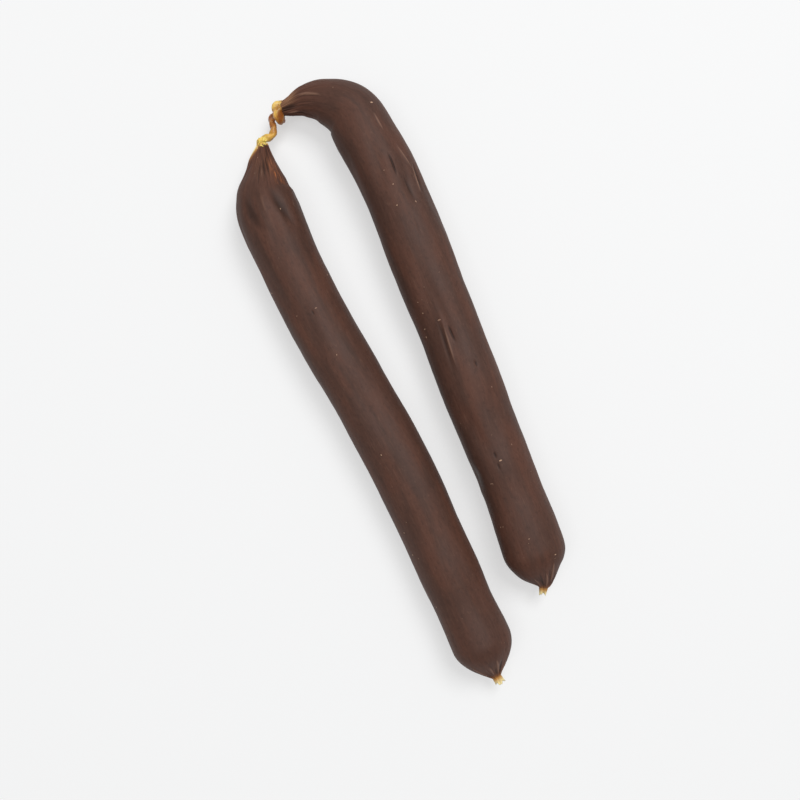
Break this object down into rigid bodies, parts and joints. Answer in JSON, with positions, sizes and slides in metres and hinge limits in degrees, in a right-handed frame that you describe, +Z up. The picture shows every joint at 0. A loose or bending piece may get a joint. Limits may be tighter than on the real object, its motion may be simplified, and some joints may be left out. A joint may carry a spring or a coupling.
{
  "type": "string of sausage links",
  "caption": "String of dried sausage links laid side by side, their heads still joined by a twisted strand of bare casing.",
  "frame": {"origin": "middle of the string's box, on the surface that it lies on", "axes": "+Y along the links towards their joined heads, +X across them towards the hooked link, +Z up"},
  "size_m": [0.0567, 0.1895, 0.0182],
  "materials": {
    "dried_sausage": "dark brown dried casing, semi-matte, with fine lengthwise wrinkles",
    "dried_casing": "bare twisted casing dried to amber and pale yellow, slightly translucent and glossy"
  },
  "bodies": {
    "root": {"sausage_string": "dried_sausage"}
  },
  "joints": []
}
